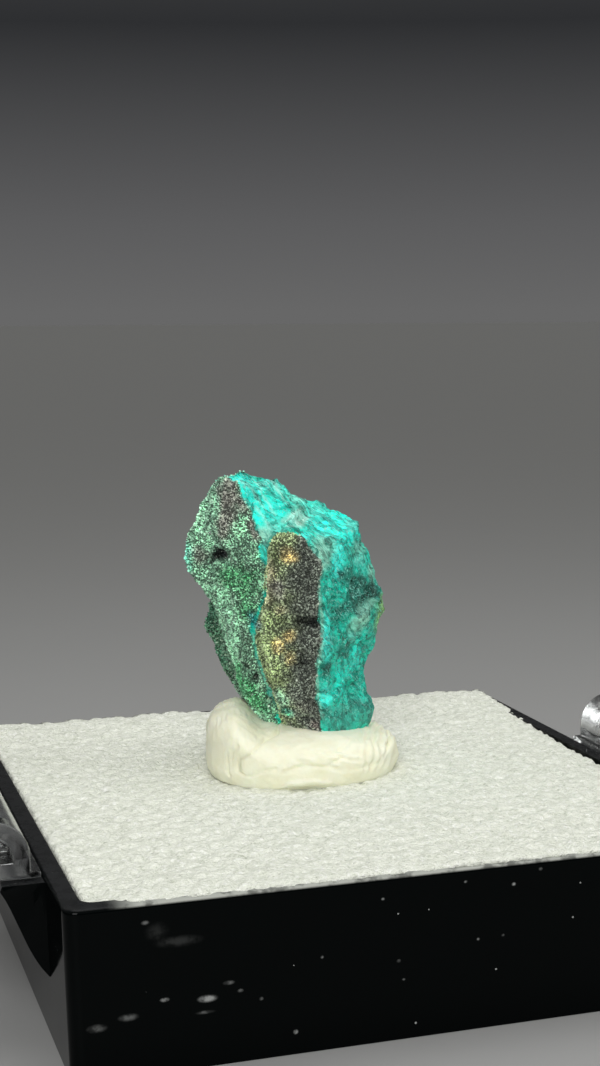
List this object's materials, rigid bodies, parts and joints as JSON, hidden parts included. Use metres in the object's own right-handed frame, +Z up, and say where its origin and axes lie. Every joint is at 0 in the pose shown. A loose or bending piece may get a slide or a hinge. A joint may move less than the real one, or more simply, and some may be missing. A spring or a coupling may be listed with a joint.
{
  "type": "dioptase specimen in a thumbnail mineral display box",
  "caption": "Upright teal dioptase specimen with dark crystal crusts, set in cream putty on white foam in a black moulded tray with clear side knuckles.",
  "frame": {"origin": "middle of the box's underside", "axes": "+Z up, +X from one side ear to the other, -Y is the front that the specimen is shown from"},
  "size_m": [0.0392, 0.0318, 0.0228],
  "materials": {
    "black_plastic": "high gloss black, satin on the rim",
    "clear_plastic": "clear moulded plastic",
    "white_foam": "fine beaded foam, matt",
    "cream_putty": "soft, slightly waxy, pressed by fingers",
    "dioptase": "glassy teal fracture faces and sparkling dark crystal crusts"
  },
  "bodies": {
    "root": {"box_base": "black_plastic", "hinge_knuckle_left": "clear_plastic", "hinge_knuckle_right": "clear_plastic", "foam_pad": "white_foam", "mineral_putty": "cream_putty", "dioptase_specimen": "dioptase"}
  },
  "joints": []
}
